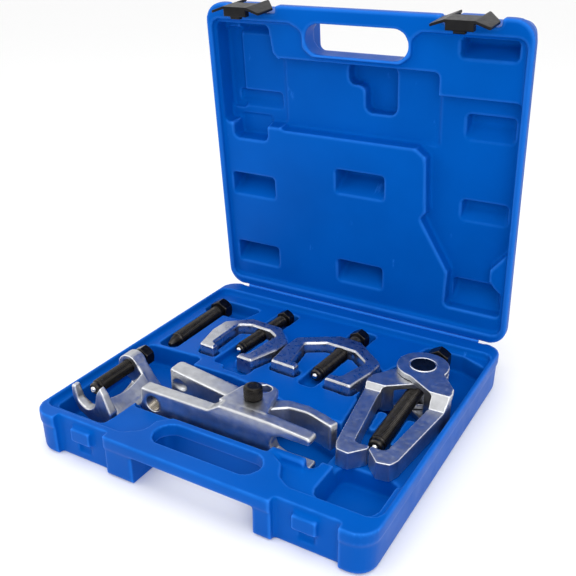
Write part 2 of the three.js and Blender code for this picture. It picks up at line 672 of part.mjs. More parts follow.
function twinArm(side, [innerHalf, outerHalf]) {
  const { eyeRadius, legHalf, pinRadius } = TWIN;
  const full = outerHalf;
  const plan = union([
    prism(ARM_LEG, -full, full, { radius: 2 }),
    prism(ARM_EYE, -full, full, { radius: 2 }),
    cylinder(eyeRadius, -full, full, { sides: 28 }),
  ]);
  // Side view: deep around the trunnion, stepping down to the leg.
  const step = -44;
  const run = (full - legHalf) * 0.9;
  const profile = prism(
    [
      [-160, -legHalf], [step - run, -legHalf], [step, -full], [30, -full],
      [30, full], [step, full], [step - run, legHalf], [-160, legHalf],
    ],
    -60,
    60,
    { radius: 0, bevel: 0 },
  )
    .rotate([90, 0, 0])
    .rotate([0, 0, 90]);
  const slot = block(-60, 60, step + 5, 40, -innerHalf, innerHalf);
  const eye = cylinder(pinRadius + CLEARANCE, -full - 1, full + 1, { sides: 28 });
  const arm = plan.intersect(profile).subtract(union([slot, eye]));
  return side > 0 ? arm : arm.mirror([1, 0, 0]);
}

function trunnion() {
  const { pinRadius, outer, screwRadius } = TWIN;
  const barrel = cylinder(pinRadius, -outer[1], outer[1], { chamfer: 0.6, sides: 28 });
  return barrel.subtract(aimBack(cylinder(screwRadius + CLEARANCE, -30, 30)));
}

const twinAxis = (part) => aimBack(part).translate([0, TWIN.screwTip, 0]);
const twinPlace = (part) => part.rotate([0, 0, TWIN.turn]).translate([TWIN.x, TWIN.y, TWIN.mid]);

// ---------------------------------------------------------------- assembly

const set = new THREE.Group();

function add(parent, name, part, material) {
  const { numProp, vertProperties, triVerts } = part.getMesh();
  const vertices = vertProperties.length / numProp;
  const positions = new Float32Array(vertices * 3);
  for (let i = 0; i < vertices; i++) {
    positions.set(vertProperties.subarray(i * numProp, i * numProp + 3), i * 3);
  }
  const geometry = new THREE.BufferGeometry();
  geometry.setAttribute("position", new THREE.BufferAttribute(positions, 3));
  geometry.setIndex(new THREE.BufferAttribute(triVerts, 1));
  geometry.computeVertexNormals();
  const mesh = new THREE.Mesh(geometry, material);
  mesh.name = name;
  parent.add(mesh);
  return mesh;
}

add(set, "case_base", caseBase(), MATERIALS.shell);
add(set, "hinge_web", hingeWeb(), MATERIALS.shell);

// The lid turns about the hinge line, and each latch about its own bar on the lid.
const lid = new THREE.Group();
lid.position.set(0, HALF_D, BASE_HEIGHT);
lid.rotation.x = -LID_OPEN_ANGLE;
set.add(lid);
add(lid, "case_lid", caseLid().translate([0, -HALF_D, 0]), MATERIALS.shell);
for (const [side, x] of Object.entries(LATCH_CENTRES)) {
  const hung = new THREE.Group();
  hung.position.set(x, LATCH.pivotY - HALF_D, LATCH.pivotZ + CLEARANCE);
  lid.add(hung);
  add(hung, `latch_${side}`, latch(), MATERIALS.latch);
}

add(set, "separator_fork_arm", forkArm(), MATERIALS.forged);
add(set, "separator_lever_arm", leverArm(), MATERIALS.forged);
add(set, "separator_pivot_bolt", pivotBolt(), MATERIALS.black);
add(set, "separator_pivot_nut", pivotNut(), MATERIALS.black);
add(set, "forcing_screw", forcingScrew(), MATERIALS.black);

add(set, "c_frame_body", cFrame(), MATERIALS.forged);
add(set, "c_frame_screw", cFrameScrew(), MATERIALS.black);
add(set, "c_frame_ball", cFrameBall(), MATERIALS.plated);

for (const [name, spec] of Object.entries({ small_puller: SMALL_PULLER, wide_puller: WIDE_PULLER })) {
  const { screwRadius, screwHead, screwTip, headAcross } = spec;
  const screw = pullerScrew(screwRadius, screwHead + headAcross * 0.62 - screwTip, headAcross);
  add(set, `${name}_frame`, pullerPlace(spec, legPuller(spec)), MATERIALS.plated);
  add(set, `${name}_screw`, pullerPlace(spec, pullerAxis(spec, screw)), MATERIALS.black);
  add(set, `${name}_ball`, pullerPlace(spec, pullerAxis(spec, pressureBall())), MATERIALS.plated);
}

const twinLength = TWIN.screwHead + TWIN.headAcross * 0.62 - TWIN.screwTip;
add(set, "twin_arm_left", twinPlace(twinArm(-1, TWIN.inner)), MATERIALS.forged);
add(set, "twin_arm_right", twinPlace(twinArm(1, TWIN.outer)), MATERIALS.forged);
add(set, "twin_trunnion", twinPlace(trunnion()), MATERIALS.black);
const twinScrew = pullerScrew(TWIN.screwRadius, twinLength, TWIN.headAcross);
add(set, "twin_screw", twinPlace(twinAxis(twinScrew)), MATERIALS.black);
add(set, "twin_ball", twinPlace(twinAxis(pressureBall())), MATERIALS.plated);

export default set;
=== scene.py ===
# Visual model of the ball joint separator set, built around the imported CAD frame.
import json
import math

import bmesh
import bpy
from mathutils import Matrix, Vector, noise


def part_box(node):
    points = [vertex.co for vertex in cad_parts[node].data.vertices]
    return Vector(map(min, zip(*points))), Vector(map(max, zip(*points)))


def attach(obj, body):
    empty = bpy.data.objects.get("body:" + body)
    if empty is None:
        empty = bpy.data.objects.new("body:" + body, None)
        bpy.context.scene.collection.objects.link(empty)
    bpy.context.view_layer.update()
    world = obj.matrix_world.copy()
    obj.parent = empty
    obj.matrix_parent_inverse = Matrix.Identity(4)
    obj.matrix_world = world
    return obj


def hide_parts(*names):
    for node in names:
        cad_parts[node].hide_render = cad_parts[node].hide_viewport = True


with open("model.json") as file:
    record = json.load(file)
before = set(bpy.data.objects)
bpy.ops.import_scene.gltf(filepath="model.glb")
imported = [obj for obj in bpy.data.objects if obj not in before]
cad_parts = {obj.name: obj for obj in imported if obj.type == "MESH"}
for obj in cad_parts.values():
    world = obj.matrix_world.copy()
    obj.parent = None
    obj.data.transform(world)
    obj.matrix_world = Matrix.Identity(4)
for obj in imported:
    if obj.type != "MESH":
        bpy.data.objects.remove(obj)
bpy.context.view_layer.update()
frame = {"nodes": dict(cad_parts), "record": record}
MM = 0.001
JOINTS = {joint["name"]: joint for joint in frame["record"]["behaviour"]["joints"]}
BODY_OF = {
    node: body for body, nodes in frame["record"]["behaviour"]["bodies"].items() for node in nodes
}
SLOT_OF = {part["node"]: part["material_slot"] for part in frame["record"]["subparts"]}

# ---------------------------------------------------------------- camera, light and floor

VIEW_AZIMUTH = math.radians(30.03)
VIEW_ELEVATION = math.radians(24.75)
CAMERA_PLACE = Vector((0.3467, -0.5891, 0.4545))
FOCAL_LENGTH = 49.52
SENSOR_WIDTH = 36
FLOOR_DROP = 0.5 * MM  # the floor lies this far below the case, so that the two never share a plane
LIGHT_AIM = Vector((0, 0, 0.1))


def make_camera():
    """The photo's camera, fitted to the corners of the case."""
    camera = bpy.data.objects.new("camera", bpy.data.cameras.new("camera"))
    bpy.context.scene.collection.objects.link(camera)
    back = Vector(
        (
            math.sin(VIEW_AZIMUTH) * math.cos(VIEW_ELEVATION),
            -math.cos(VIEW_AZIMUTH) * math.cos(VIEW_ELEVATION),
            math.sin(VIEW_ELEVATION),
        )
    )
    camera.location = CAMERA_PLACE
    camera.rotation_euler = (-back).to_track_quat("-Z", "Y").to_euler()
    camera.data.sensor_width = SENSOR_WIDTH
    camera.data.lens = FOCAL_LENGTH
    bpy.context.scene.camera = camera


def make_area_light(name, place, size, power):
    """A soft light of the given width and height, turned towards the tools."""
    data = bpy.data.lights.new(name, "AREA")
    data.shape = "RECTANGLE"
    data.size, data.size_y = size
    data.energy = power
    light = bpy.data.objects.new(name, data)
    light.location = place
    light.rotation_euler = (LIGHT_AIM - Vector(place)).to_track_quat("-Z", "Y").to_euler()
    bpy.context.scene.collection.objects.link(light)


def make_studio():
    """White surroundings, three soft lights and a white floor."""
    world = bpy.data.worlds.new("studio")
    world.use_nodes = True
    world.node_tree.nodes["Background"].inputs["Color"].default_value = (1, 1, 1, 1)
    world.node_tree.nodes["Background"].inputs["Strength"].default_value = 1.0
    bpy.context.scene.world = world
    bpy.context.scene.view_settings.view_transform = "Standard"
    make_area_light("overhead", (0.1, -0.2, 1.6), (1.2, 1.2), 7)
    make_area_light("key", (1.1, -1.3, 1.1), (0.8, 0.8), 8)
    make_area_light("fill", (-1.4, -0.8, 0.9), (0.9, 0.9), 4)
    bpy.ops.mesh.primitive_plane_add(size=30, location=(0, 0, -FLOOR_DROP))
    floor = bpy.context.object
    floor.name = "floor"
    floor.data.materials.append(flat_material("floor_white", (0.96, 0.96, 0.96), 0.6))


def flat_material(name, color, roughness):
    """One even colour with no texture."""
    material = bpy.data.materials.new(name)
    material.use_nodes = True
    shader = material.node_tree.nodes["Principled BSDF"]
    shader.inputs["Base Color"].default_value = (*color, 1)
    shader.inputs["Roughness"].default_value = roughness
    return material


# ---------------------------------------------------------------- materials


class Material:
    """A Principled material whose inputs are driven by object-space noise."""

    def __init__(self, name, **values):
        self.material = bpy.data.materials.new(name)
        self.material.use_nodes = True
        self.tree = self.material.node_tree
        self.shader = self.tree.nodes["Principled BSDF"]
        for key, value in values.items():
            self.shader.inputs[key.replace("_", " ")].default_value = value
        self.place = self.node("ShaderNodeTexCoord").outputs["Object"]
        self.normal = None

    def node(self, kind, **inputs):
        """A new shader node; each input is a value or another node's output."""
        made = self.tree.nodes.new(kind)
        for key, value in inputs.items():
            socket = made.inputs[key.replace("_", " ")]
            if isinstance(value, bpy.types.NodeSocket):
                self.tree.links.new(value, socket)
            else:
                socket.default_value = value
        return made

    def noise(self, size, detail, roughness=0.5, stretch=(1, 1, 1)):
        """Noise whose blobs are about size metres across."""
        mapping = self.node("ShaderNodeMapping", Vector=self.place, Scale=Vector(stretch) / size)
        made = self.node("ShaderNodeTexNoise", Vector=mapping.outputs["Vector"], Scale=1.0)
        made.inputs["Detail"].default_value = detail
        made.inputs["Roughness"].default_value = roughness
        return made.outputs["Fac"]

    def ramp(self, value, stops):
        """A colour ramp; stops are (position, color)."""
        made = self.node("ShaderNodeValToRGB", Fac=value)
        elements = made.color_ramp.elements
        while len(elements) < len(stops):
            elements.new(0.5)
        for element, (position, color) in zip(elements, stops):
            element.position = position
            element.color = (*color, 1)
        return made.outputs["Color"]

    def range(self, value, low, high, source=(0.3, 0.7)):
        """The value rescaled so that the source interval runs from low to high."""
        made = self.node("ShaderNodeMapRange", Value=value)
        made.inputs["From Min"].default_value, made.inputs["From Max"].default_value = source
        made.inputs["To Min"].default_value, made.inputs["To Max"].default_value = low, high
        return made.outputs["Result"]

    def mix(self, factor, a, b):
        """Colour a where the factor is 0, colour b where it is 1."""
        made = self.tree.nodes.new("ShaderNodeMix")
        made.data_type = "RGBA"
        for socket, value in ((made.inputs[0], factor), (made.inputs[6], a), (made.inputs[7], b)):
            if isinstance(value, bpy.types.NodeSocket):
                self.tree.links.new(value, socket)
            else:
                socket.default_value = value if isinstance(value, float) else (*value, 1)
        return made.outputs[2]

    def edges(self, low, high):
        """0 at the first pointiness and 1 at the second; 0.5 is flat, and more is a convex edge."""
        pointiness = self.node("ShaderNodeNewGeometry").outputs["Pointiness"]
        return self.range(pointiness, 0, 1, (low, high))

    def bump(self, height, distance, strength):
        """Adds relief on top of the bumps that are already there."""
        made = self.node("ShaderNodeBump", Height=height, Distance=distance, Strength=strength)
        if self.normal:
            self.tree.links.new(self.normal, made.inputs["Normal"])
        self.normal = made.outputs["Normal"]
        self.tree.links.new(self.normal, self.shader.inputs["Normal"])

    def set(self, name, value):
        """Drives one input of the Principled shader."""
        self.tree.links.new(value, self.shader.inputs[name])


def make_shell_material(name, deep, light):
    """Blow-moulded polyethylene: a fine matt grain, slow colour drift, paler edges that are partly
    rubbed wear and partly a painted highlight, and light scuffs.
    """
    m = Material(name, Specular_IOR_Level=0.14, Specular_Tint=(0.02, 0.4, 1.0, 1.0))
    base = m.ramp(m.noise(0.09, 3), [(0.3, deep), (0.7, light)])
    pale_wear_and_highlight = (0.02, light[1] * 1.9, min(1.0, light[2] * 1.5))
    # Painted highlight, partly rubbed wear: convex edges are mixed towards the pale colour.
    body = m.mix(m.edges(0.508, 0.56), base, pale_wear_and_highlight)
    streaks = m.range(m.noise(0.012, 6, 0.65, (1, 0.12, 0.4)), 0, 1, (0.68, 0.8))
    m.set("Base Color", m.mix(streaks, body, pale_wear_and_highlight))
    m.set("Roughness", m.range(m.noise(0.02, 4), 0.36, 0.48))
    m.bump(m.noise(0.0011, 2), 0.00006, 0.5)
    m.bump(m.noise(0.03, 2), 0.0006, 0.35)
    return m.material


def make_forged_material(name, tone, roughness, contrast=0.8, pits=1.0):
    """Plated forging: fine pits, soft hollows, edges lighter from rubbing and from a painted highlight,
    and concave corners darkened by painted shade with some dirt.
    """
    m = Material(name, Metallic=1.0)
    dark = tuple(channel * contrast for channel in tone)
    base = m.ramp(m.noise(0.011, 5, 0.6), [(0.3, dark), (0.7, tone)])
    bright = tuple(min(1, channel * 1.45) for channel in tone)
    shade_and_dirt = tuple(channel * 0.45 for channel in tone)
    # Painted highlight, partly rubbed wear: convex edges are mixed towards the brighter tone.
    rubbed_and_highlit = m.mix(m.edges(0.51, 0.56), base, bright)
    # Painted shade, with some dirt: concave corners are mixed towards the dark tone.
    m.set("Base Color", m.mix(m.edges(0.46, 0.38), rubbed_and_highlit, shade_and_dirt))
    m.set("Roughness", m.range(m.noise(0.004, 4), roughness - 0.06, roughness + 0.08))
    m.bump(m.noise(0.0013, 4, 0.6), 0.00005 * pits, 0.55)
    m.bump(m.noise(0.009, 3), 0.0004 * pits, 0.5)
    return m.material


def make_black_material(name):
    """Oiled black oxide with a brown cast, and crests lighter where steel shows through and where a
    painted highlight is laid on.
    """
    m = Material(name, Metallic=0.9)
    oxide = [(0.3, (0.010, 0.009, 0.008)), (0.7, (0.03, 0.027, 0.025))]
    base = m.ramp(m.noise(0.006, 5), oxide)
    # Painted highlight, partly worn oxide: convex crests are mixed towards a lighter steel colour.
    m.set("Base Color", m.mix(m.edges(0.53, 0.6), base, (0.13, 0.12, 0.11)))
    m.set("Roughness", m.range(m.noise(0.003, 4), 0.26, 0.4))
    m.bump(m.noise(0.0012, 3), 0.00005, 0.5)
    return m.material


def make_latch_material(name):
    """Injection-moulded black plastic with a soft gloss and a fine spark-eroded grain."""
    m = Material(name, Specular_IOR_Level=0.14)
    blacks = [(0.3, (0.004, 0.004, 0.005)), (0.7, (0.009, 0.009, 0.010))]
    m.set("Base Color", m.ramp(m.noise(0.01, 4), blacks))
    m.set("Roughness", m.range(m.noise(0.004, 4), 0.3, 0.42))
    m.bump(m.noise(0.0009, 2), 0.00005, 0.5)
    return m.material


make_camera()
make_studio()
MATERIALS = {
    "shell": make_shell_material("blue_shell", (0.0, 0.075, 0.385), (0.0, 0.091, 0.45)),
    "latch": make_latch_material("black_latch"),
    "forged": make_forged_material("satin_forged", (0.6, 0.61, 0.635), 0.34, 0.74),
    "plated": make_forged_material("bright_forged", (0.57, 0.58, 0.62), 0.3, 0.75, 0.45),
    "black_steel": make_black_material("black_oxide"),
    "cut_steel": make_forged_material("cut_steel", (0.3, 0.27, 0.23), 0.3),
    "ball": make_forged_material("hardened_ball", (0.68, 0.68, 0.7), 0.12, 0.9, 0.1),
}

# ---------------------------------------------------------------- mesh helpers

WELD = 1e-6
CREASE_ANGLE = math.radians(38)


def add_piece(name, mesh, body, slot, *replaced):
    """A smooth-shaded piece that rides on a body and stands for the named CAD nodes."""
    piece = bpy.data.objects.new(name, mesh)
    bpy.context.scene.collection.objects.link(piece)
    mesh.materials.clear()
    mesh.materials.append(MATERIALS[slot])
    mesh.shade_smooth()
    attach(piece, body)
    if replaced:
        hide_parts(*replaced)
    return piece


def welded_copy(node):
    """A copy of a CAD node's mesh with shared vertices."""
    mesh = frame["nodes"][node].data.copy()
    shape = bmesh.new()
    shape.from_mesh(mesh)
    bmesh.ops.remove_doubles(shape, verts=shape.verts, dist=WELD)
    shape.to_mesh(mesh)
    shape.free()
    return mesh


def modified(mesh, *modifiers):
    """The mesh after a stack of modifiers, each given as (type, settings)."""
    holder = bpy.data.objects.new("holder", mesh)
    bpy.context.scene.collection.objects.link(holder)
    for kind, settings in modifiers:
        modifier = holder.modifiers.new(kind.lower(), kind)
        for key, value in settings.items():
            setattr(modifier, key, value)
    graph = bpy.context.evaluated_depsgraph_get()
    result = bpy.data.meshes.new_from_object(holder.evaluated_get(graph))
    bpy.data.objects.remove(holder)
    return result


def softened(mesh, voxel, smoothing):
    """Rounds every edge by rebuilding the surface on a fine grid."""
    return modified(
        mesh,
        ("REMESH", {"mode": "VOXEL", "voxel_size": voxel}),
        ("SMOOTH", {"factor": 0.5, "iterations": smoothing}),
    )


def roughened(mesh, size, height):
    """Hammers soft hollows of about the given size into a mesh."""
    places = [(vertex.co.copy(), vertex.normal.copy()) for vertex in mesh.vertices]
    for vertex, (place, normal) in zip(mesh.vertices, places):
        vertex.co = place - normal * height * (0.5 + 0.5 * noise.noise(place / size))
    return mesh


def ring_mesh(name, rings, sides, closed=False):
    """A skin over rings about Z. A ring is (z, radius), the radius a number or a function (z, angle)."""
    shape = bmesh.new()
    loops = []
    for z, radius in rings:
        if radius == 0:
            loops.append([shape.verts.new((0, 0, z))])
            continue
        loop = []
        for step in range(sides):
            angle = 2 * math.pi * step / sides
            reach = radius(z, angle) if callable(radius) else radius
            loop.append(shape.verts.new((reach * math.cos(angle), reach * math.sin(angle), z)))
        loops.append(loop)
    pairs = list(zip(loops, loops[1:])) + ([(loops[-1], loops[0])] if closed else [])
    for low, high in pairs:
        for step in range(sides):
            after = (step + 1) % sides
            turns = ((low, step), (low, after), (high, after), (high, step))
            distinct = list(dict.fromkeys(loop[at % len(loop)] for loop, at in turns))
            if len(distinct) > 2:
                shape.faces.new(distinct)
    bmesh.ops.recalc_face_normals(shape, faces=shape.faces)
    mesh = bpy.data.meshes.new(name)
    shape.to_mesh(mesh)
    shape.free()
    return mesh


def add_turned(name, mesh, place, body, slot, *replaced):
    """A turned or threaded piece, moved to its place, whose machined corners stay crisp."""
    mesh.transform(place)
    piece = add_piece(name, mesh, body, slot, *replaced)
    piece.data.set_sharp_from_angle(angle=CREASE_ANGLE)


def box_corners(node):
    """The low and high corner of a CAD node's box."""
    return (Vector(corner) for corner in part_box(node))


def upright_at(point):
    """A frame about the upright line through a point, with its origin at Z = 0."""
    return Matrix.Translation((point.x, point.y, 0))


def steps(low, high, size):
    """Evenly spaced stations from low to high, about size apart."""
    count = max(1, round(abs(high - low) / size))
    return [low + (high - low) * i / count for i in range(count + 1)]


# ---------------------------------------------------------------- case

VENTS = {"case_base": (-40, 155), "case_lid": (-60, 158)}  # mm, in plan with the case shut
VENT_REACH = 3.2 * MM  # a little more than the vent's radius
CASE_VOXEL = 1.5 * MM
CASE_SMOOTHING = 5
CASE_TRIANGLES = 190_000


def closing_matrix():
    """Turns the lid from where it stands open to where it lies shut."""
    hinge = JOINTS["lid_hinge"]
    place = Matrix.Translation(hinge["pos_m"])
    turn = Matrix.Rotation(math.radians(hinge["range_deg"][0]), 4, Vector(hinge["axis"]))
    return place @ turn @ place.inverted()


CLOSED = closing_matrix()


def outer_skin(mesh, vent):
    """The outside of a double-walled moulding: its vent's wall goes, and then the inner skin."""
    centre = Vector((vent[0] * MM, vent[1] * MM))
    shape = bmesh.new()
    shape.from_mesh(mesh)
    tube = [
        face
        for face in shape.faces
        if abs(face.normal.z) < 0.5 and (face.calc_center_median().xy - centre).length < VENT_REACH
    ]
    bmesh.ops.delete(shape, geom=tube, context="FACES")
    start = max(shape.verts, key=lambda vertex: vertex.co.x)
    outside = {start}
    front = [start]
    while front:
        vertex = front.pop()
        for edge in vertex.link_edges:
            other = edge.other_vert(vertex)
            if other not in outside:
                outside.add(other)
                front.append(other)
    inside = [vertex for vertex in shape.verts if vertex not in outside]
    bmesh.ops.delete(shape, geom=inside, context="VERTS")
    bmesh.ops.holes_fill(shape, edges=[edge for edge in shape.edges if edge.is_boundary], sides=0)
    shape.to_mesh(mesh)
    shape.free()
    return mesh


def make_case_half(node, pose):
    """One half of the case; the pose lays it shut, so that its grid follows its walls."""
    mesh = welded_copy(node)
    mesh.transform(pose)
    mesh = softened(outer_skin(mesh, VENTS[node]), CASE_VOXEL, CASE_SMOOTHING)
    triangles = 2 * len(mesh.polygons)
    mesh = modified(mesh, ("DECIMATE", {"ratio": min(1.0, CASE_TRIANGLES / triangles)}))
    mesh.transform(pose.inverted())
    add_piece(node + "_shell", mesh, BODY_OF[node], "shell", node)


# ---------------------------------------------------------------- forged tools

# Grid size in mm and smoothing passes of each forging: the finer the grid, the crisper its edges.
FORGINGS = {
    "separator_fork_arm": (0.8, 10),
    "separator_lever_arm": (0.8, 10),
    "c_frame_body": (0.6, 5),
    "small_puller_frame": (0.6, 4),
    "wide_puller_frame": (0.65, 4),
    "twin_arm_left": (0.7, 4),
    "twin_arm_right": (0.7, 4),
}
HAMMER_SIZE = 7 * MM
HAMMER_DEPTH = 0.16 * MM


def make_forging(node, voxel, smoothing):
    """A forging, with its edges rounded on a fine grid and its faces hammered."""
    mesh = welded_copy(node)
    if node == "c_frame_body":
        taper_prongs(mesh)
        add_saddle(mesh)
    mesh = roughened(softened(mesh, voxel * MM, smoothing), HAMMER_SIZE, HAMMER_DEPTH)
    add_piece(node + "_forged", mesh, BODY_OF[node], SLOT_OF[node], node)


C_FRAME_LEAN = math.radians(-43)  # how far the spine leans from straight down
PRONG_DEPTH = 13 * MM  # the fork's plate and a little more, from its outer face
PRONG_MIDDLE = 5.5 * MM  # middle of that plate
PRONG_ROOT = 12 * MM  # where the taper starts, below the screw's axis
PRONG_EDGE = 4 * MM  # longest edge that can follow the taper
FORK_MIDDLE = 4 * MM  # between the prongs, from the screw's axis
LEFT_PRONG = (-13, 0.5)  # middle of the tip in mm from the screw's axis, and the share of width left
RIGHT_PRONG = (20, 0.4)
PRONG_THINNING = 0.4  # share of the thickness lost at the tip

# The trough in the spine's back, in mm: heights from the screw's axis, widths from its own middle.
SADDLE_INSET = 8  # from the fork's outer face to the near end
SADDLE_END = -66  # Y of the end at the boss
SADDLE_STATION = 4  # between cross-sections
RIM, RIM_DIP = -13, 5  # height at the ends, and how much lower halfway
TROUGH, TROUGH_RISE = -33, 4  # height of the floor halfway, and how much higher at the ends
HALF_WIDTH, WAIST = 10.5, 2  # at the ends, and how much narrower halfway
LIP = 1
TROUGH_SHARE = 0.8  # of the width at the rim
UNDERSIDE, UNDERSIDE_HALF = -38, 8
TROUGH_STEP = 0.35  # radians between the points of its round floor


def taper_prongs(mesh):
    """Draws both prongs of the C-frame's fork out to thin tips."""
    axis = Vector(JOINTS["c_frame_screw_turn"]["pos_m"])
    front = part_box("c_frame_body")[0][1]
    root, top = axis.z - PRONG_ROOT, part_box("c_frame_body")[1][2]
    middle = front + PRONG_MIDDLE
    shape = bmesh.new()
    shape.from_mesh(mesh)
    long_edges = [edge for edge in shape.edges if edge.calc_length() > PRONG_EDGE]
    bmesh.ops.subdivide_edges(shape, edges=long_edges, cuts=2)
    for vertex in shape.verts:
        if vertex.co.y > front + PRONG_DEPTH or vertex.co.z < root:
            continue
        rise = min(1, (vertex.co.z - root) / (top - root))
        offset, left = LEFT_PRONG if vertex.co.x < axis.x + FORK_MIDDLE else RIGHT_PRONG
        centre = axis.x + offset * MM
        vertex.co.x = centre + (vertex.co.x - centre) * (1 - (1 - left) * rise)
        vertex.co.y = middle + (vertex.co.y - middle) * (1 - PRONG_THINNING * rise)
    shape.to_mesh(mesh)
    shape.free()


def add_saddle(mesh):
    """Adds the hollowed back of the C-frame, a trough between its fork and its boss."""
    axis = Vector(JOINTS["c_frame_screw_turn"]["pos_m"])
    start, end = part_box("c_frame_body")[0][1] + SADDLE_INSET * MM, SADDLE_END * MM
    lean = Matrix.Translation((axis.x, 0, axis.z)) @ Matrix.Rotation(C_FRAME_LEAN, 4, "Y")
    shape = bmesh.new()
    shape.from_mesh(mesh)
    loops = []
    for y in steps(start, end, SADDLE_STATION * MM):
        share = (y - start) / (end - start)
        bow = math.sin(math.pi * share)
        rim = RIM - RIM_DIP * bow
        floor = TROUGH + TROUGH_RISE * abs(2 * share - 1) ** 3
        half = HALF_WIDTH - WAIST * bow
        section = [(half, rim - LIP), (UNDERSIDE_HALF, UNDERSIDE)]
        section += [(-UNDERSIDE_HALF, UNDERSIDE), (-half, rim - LIP)]
        for turn in steps(0, math.pi, TROUGH_STEP):
            across = -half * TROUGH_SHARE * math.cos(turn)
            section.append((across, floor + (rim - floor) * (1 - math.sin(turn))))
        loops.append([shape.verts.new(lean @ Vector((u * MM, y, d * MM))) for u, d in section])
    for low, high in zip(loops, loops[1:]):
        for a, b, c, d in zip(low, low[1:] + low[:1], high[1:] + high[:1], high):
            shape.faces.new((a, b, c, d))
    shape.faces.new(loops[0])
    shape.faces.new(loops[-1])
    bmesh.ops.recalc_face_normals(shape, faces=shape.faces)
    shape.to_mesh(mesh)
    shape.free()


# ---------------------------------------------------------------- screws

SCREW_SIDES = 48
THREAD_RINGS = 7  # per pitch
THREAD_DEPTH = 0.62  # of the pitch
THREAD_RUNOUT = 1.5  # pitches
THREAD_CREST = 0.25  # share of the pitch that is left as a flat crest
THREAD_FLANK = 1.6  # slope of the flanks: the lower it is, the narrower the root
HEAD_HEIGHT = 0.62  # of the size across flats
HEAD_FACE = 0.46  # radius of the round face on a head, of the size across flats
HEAD_CHAMFER = 2.4 * MM
CORNER_START = 0.96  # radius at a head's ends, of the distance from its axis to a flat
CORNER_SLOPE = 1.6  # how fast the turned-off corners grow from there
FORCING_SCREW = (8, 22, 2)  # shank radius, size across flats and pitch, in mm
BALL_RADIUS = 3.2 * MM
BALL_SEAT = 0.6 * MM  # the ball's middle, inwards from the end of its screw
BALL_FLAT = 0.06 * MM  # how much is worn off the ball's tip
BALL_RINGS = 22
BALL_SIDES = 40


def thread_wave(z, angle, pitch):
    """Runs from 0 to 1 and back once in each pitch of a right-hand helix."""
    return abs(2 * ((z / pitch - angle / (2 * math.pi)) % 1) - 1)


def screw_thread(radius, pitch, start, end):
    """Radius of a helical thread that runs out smoothly at both ends."""

    def reach(z, angle):
        wave = thread_wave(z, angle, pitch)
        cut = min(1, max(0, THREAD_FLANK * (wave - THREAD_CREST)))
        fade = min(1, max(0, min(z - start, end - z) / (THREAD_RUNOUT * pitch)))
        return radius - THREAD_DEPTH * pitch * cut * fade

    return reach


def hexagon(across, corner, low, high):
    """Radius of a hexagon head whose corners are turned off at both ends."""
    apothem = across / 2

    def reach(z, angle):
        within = (angle - corner) % (math.pi / 3) - math.pi / 6
        chamfer = CORNER_START * apothem + CORNER_SLOPE * min(z - low, high - z)
        return min(apothem / math.cos(within), chamfer)

    return reach


def axis_frame(origin, direction):
    """A frame whose Z runs along the direction."""
    turn = Vector(direction).to_track_quat("Z", "Y").to_matrix().to_4x4()
    return Matrix.Translation(origin) @ turn


def screw_place(node, joint):
    """A screw's own frame: its tip at the origin and its head along +Z, from the joint that turns it."""
    axis = Vector(joint["axis"])
    origin = Vector(joint["pos_m"])
    low, high = box_corners(node)
    if ((low + high) / 2 - origin).dot(axis) < 0:
        axis.negate()
    return axis_frame(origin, axis)


def measure(node, place):
    """Length of a screw and the angle of one corner of its head, in its own frame."""
    local = [place.inverted() @ vertex.co for vertex in frame["nodes"][node].data.vertices]
    corner = max(local, key=lambda point: point.xy.length)
    return max(point.z for point in local), math.atan2(corner.y, corner.x)


def make_screw(node, place, radius, across, pitch, tip):
    """A threaded screw with a hexagon head; tip lists the rings before its thread."""
    length, corner = measure(node, place)
    head = across * HEAD_HEIGHT
    under = length - head
    start = tip[-1][0]
    thread = screw_thread(radius, pitch, start, under - THREAD_RUNOUT * pitch)
    hexed = hexagon(across, corner, under, length)
    face = HEAD_FACE * across
    rings = list(tip)
    rings += [(z, thread) for z in steps(start, under - 0.2 * MM, pitch / THREAD_RINGS)[1:]]
    rings += [(under, face * 0.9)]
    for low, high in ((under, under + HEAD_CHAMFER), (length - HEAD_CHAMFER, length)):
        rings += [(z, hexed) for z in steps(low, high, 0.3 * MM)]
    rings += [(length, face), (length - 0.25 * MM, face * 0.88), (length - 0.25 * MM, 0)]
    mesh = ring_mesh(node, rings, SCREW_SIDES)
    add_turned(node + "_threaded", mesh, place, BODY_OF[node], "black_steel", node)


def socket_tip(radius):
    """The end of a puller's screw: a socket for the ball inside a plain dog point."""
    hole = BALL_RADIUS + 0.25 * MM
    bottom = hole + 1.3 * MM
    socket = [(bottom, 0), (bottom, hole * 0.7), (hole, hole), (0.4 * MM, hole), (0, hole + 0.3 * MM)]
    # Each row of the outside is mm from the tip, and mm inside the shank's radius.
    outside = ((0, 2.5), (0.3, 2.1), (1.5, 1.1), (4.6, 1.1), (5, 1.3), (5.4, 1.1), (6.2, 0))
    return socket + [(z * MM, radius - inset * MM) for z, inset in outside]


def cone_tip(radius):
    """The end of the loose forcing screw: a rounded cone and a plain neck."""
    # Each row is mm from the tip, and mm across from the axis.
    cone = ((0, 0), (0.1, 1.6), (0.7, 2.6), (8, 5.6), (12, 6.35), (12.4, 6.5))
    neck = [(12.8 * MM, radius - 0.9 * MM), (14 * MM, radius)]
    return [(z * MM, reach * MM) for z, reach in cone] + neck


def make_ball(node, place):
    """A hardened ball with a small flat worn on its tip."""
    rings = []
    for angle in steps(0, math.pi, math.pi / BALL_RINGS):
        z = -BALL_RADIUS * math.cos(angle) + BALL_SEAT
        rings.append((max(z, BALL_SEAT + BALL_FLAT - BALL_RADIUS), BALL_RADIUS * math.sin(angle)))
    rings[0] = (rings[0][0], 0)
    rings[-1] = (rings[-1][0], 0)
    mesh = ring_mesh(node, rings, BALL_SIDES)
    mesh.transform(place)
    add_piece(node + "_polished", mesh, BODY_OF[node], "ball", node)


